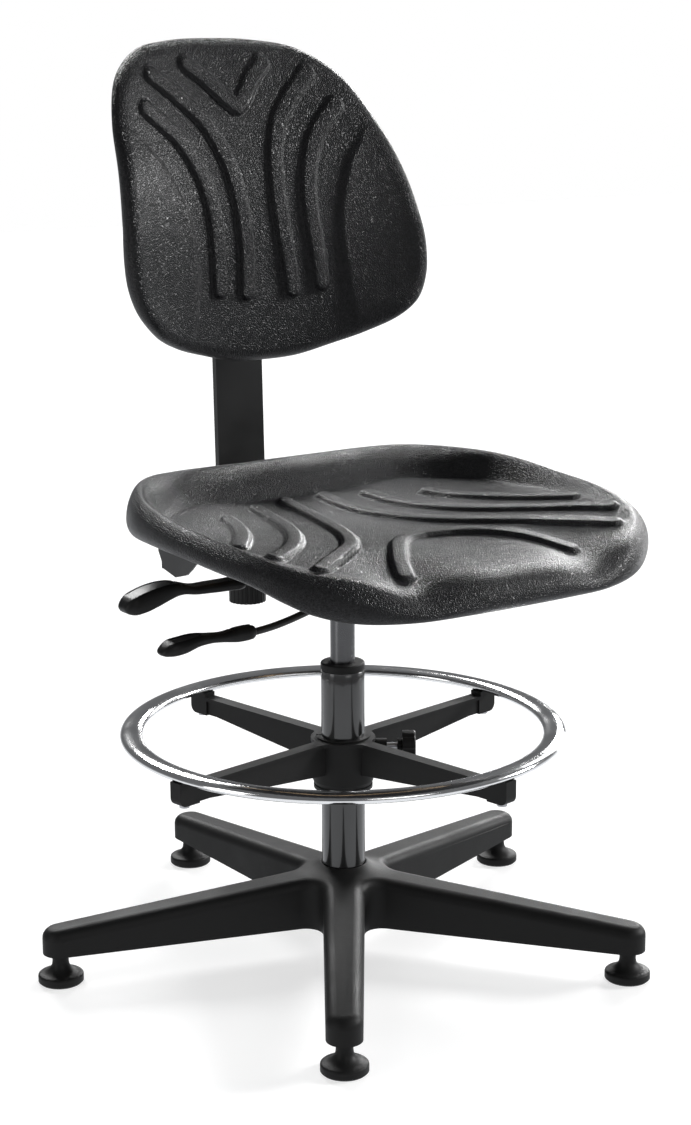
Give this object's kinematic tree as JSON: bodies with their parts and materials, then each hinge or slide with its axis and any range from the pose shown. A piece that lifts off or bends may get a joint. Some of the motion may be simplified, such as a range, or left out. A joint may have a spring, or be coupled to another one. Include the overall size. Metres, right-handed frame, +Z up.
{
  "type": "drafting chair",
  "caption": "Armless drafting chair: moulded seat and back, gas-lift column, sliding foot ring and a leg base on glides.",
  "frame": {"origin": "on the column's axis at floor level, under the glides", "axes": "+Z up the column; the sitter faces -Y, so the seat's levers stick out along -X"},
  "size_m": [0.688, 0.6884, 1.031],
  "materials": {
    "base_nylon": "fine textured black nylon, low sheen",
    "steel": "zinc-plated steel",
    "gloss_black_steel": "gloss black enamel",
    "lift_steel": "satin black",
    "rod_chrome": "hard chrome",
    "buffer_rubber": "black rubber",
    "black_steel": "semi-gloss black powder coat",
    "lever_plastic": "moulded black plastic with a fine texture",
    "spider_plastic": "moulded black glass-filled nylon",
    "ring_chrome": "polished chrome plate",
    "seat_skin": "black integral-skin polyurethane with a leather grain",
    "board_wood": "plain plywood"
  },
  "bodies": {
    "base": {"base_star": "base_nylon", "base_hub_ring": "steel", "floor_glides": "base_nylon", "glide_stems": "steel", "outer_tube": "gloss_black_steel", "tube_end_cap": "steel", "tube_bush": "base_nylon", "thrust_bearing": "steel"},
    "lift_rod": {"piston_rod": "rod_chrome", "rod_clip": "steel", "rubber_buffer": "buffer_rubber", "piston": "buffer_rubber"},
    "control": {"gas_cylinder": "lift_steel", "rod_seal": "buffer_rubber", "control_housing": "black_steel", "taper_socket": "steel", "tilt_shaft": "steel", "lever_pins": "steel", "lock_plates": "steel", "tilt_spring": "steel", "spring_nut": "steel"},
    "valve": {"valve_pin": "steel"},
    "height_lever": {"height_lever_rod": "black_steel", "height_lever_grip": "lever_plastic"},
    "tilt_lever": {"tilt_lever_arm": "black_steel", "tilt_lever_grip": "lever_plastic"},
    "tension": {"tension_stud": "steel", "tension_knob": "lever_plastic"},
    "seat": {"seat_plate": "black_steel", "back_pivot_pins": "steel", "seat_board": "board_wood", "seat_bolts": "steel", "seat_cushion": "seat_skin"},
    "back": {"back_bracket": "black_steel", "back_upright": "black_steel", "upright_cap": "lever_plastic", "upright_bolts": "steel"},
    "backrest": {"height_sleeve": "black_steel", "back_plate": "black_steel", "back_screws": "steel", "backrest_cushion": "seat_skin"},
    "back_knob": {"back_knob_stud": "steel", "back_knob_grip": "lever_plastic"},
    "ring_sleeve": {"ring_bush": "spider_plastic"},
    "footring": {"spider": "spider_plastic", "foot_ring": "ring_chrome", "ring_pads": "spider_plastic", "ring_screws": "steel"},
    "clamp_knob": {"clamp_stud": "steel", "clamp_grip": "lever_plastic"}
  },
  "joints": [
    {"name": "seat_swivel", "type": "hinge", "parent": "base", "child": "lift_rod", "pos_m": [0, 0, 0.04], "axis": [0, 0, 1], "continuous": true},
    {"name": "seat_lift", "type": "slide", "parent": "lift_rod", "child": "control", "axis": [0, 0, 1], "range_m": [-0.045, 0.125]},
    {"name": "valve_travel", "type": "slide", "parent": "control", "child": "valve", "axis": [0, 0, -1], "range_m": [0, 0.0062]},
    {"name": "height_lever_pull", "type": "hinge", "parent": "control", "child": "height_lever", "pos_m": [-0.04, 0, 0.44], "axis": [0, 1, 0], "range_deg": [0, 8], "stiffness_Nm_per_rad": 6, "springref_deg": -11.46},
    {"name": "tilt_lever_pull", "type": "hinge", "parent": "control", "child": "tilt_lever", "pos_m": [-0.044, 0.06, 0.437], "axis": [0, 1, 0], "range_deg": [0, 6]},
    {"name": "tension_turn", "type": "hinge", "parent": "control", "child": "tension", "pos_m": [-0.042, 0.134, 0.41], "axis": [0, 0, 1], "continuous": true},
    {"name": "seat_tilt", "type": "hinge", "parent": "control", "child": "seat", "pos_m": [0, 0.048, 0.456], "axis": [1, 0, 0], "range_deg": [-8, 4]},
    {"name": "back_recline", "type": "hinge", "parent": "seat", "child": "back", "pos_m": [0, 0.156, 0.455], "axis": [1, 0, 0], "range_deg": [-15, 4]},
    {"name": "back_height", "type": "slide", "parent": "back", "child": "backrest", "axis": [0, 0.0262, 0.9997], "range_m": [-0.04, 0.05]},
    {"name": "back_knob_turn", "type": "hinge", "parent": "backrest", "child": "back_knob", "pos_m": [0, 0.22291, 0.77471], "axis": [0, 0.9997, -0.0262], "range_deg": [0, 360]},
    {"name": "footring_slide", "type": "slide", "parent": "base", "child": "ring_sleeve", "axis": [0, 0, 1], "range_m": [-0.085, 0.045]},
    {"name": "footring_turn", "type": "hinge", "parent": "ring_sleeve", "child": "footring", "pos_m": [0, 0, 0.25], "axis": [0, 0, 1], "continuous": true},
    {"name": "clamp_knob_turn", "type": "hinge", "parent": "footring", "child": "clamp_knob", "pos_m": [0.04939, -0.03407, 0.242], "axis": [0.8231, -0.5678, 0], "range_deg": [0, 360]}
  ],
  "couplings": [
    {"joint": "valve_travel", "follows": "height_lever_pull", "m_per_rad": 0.0434}
  ]
}
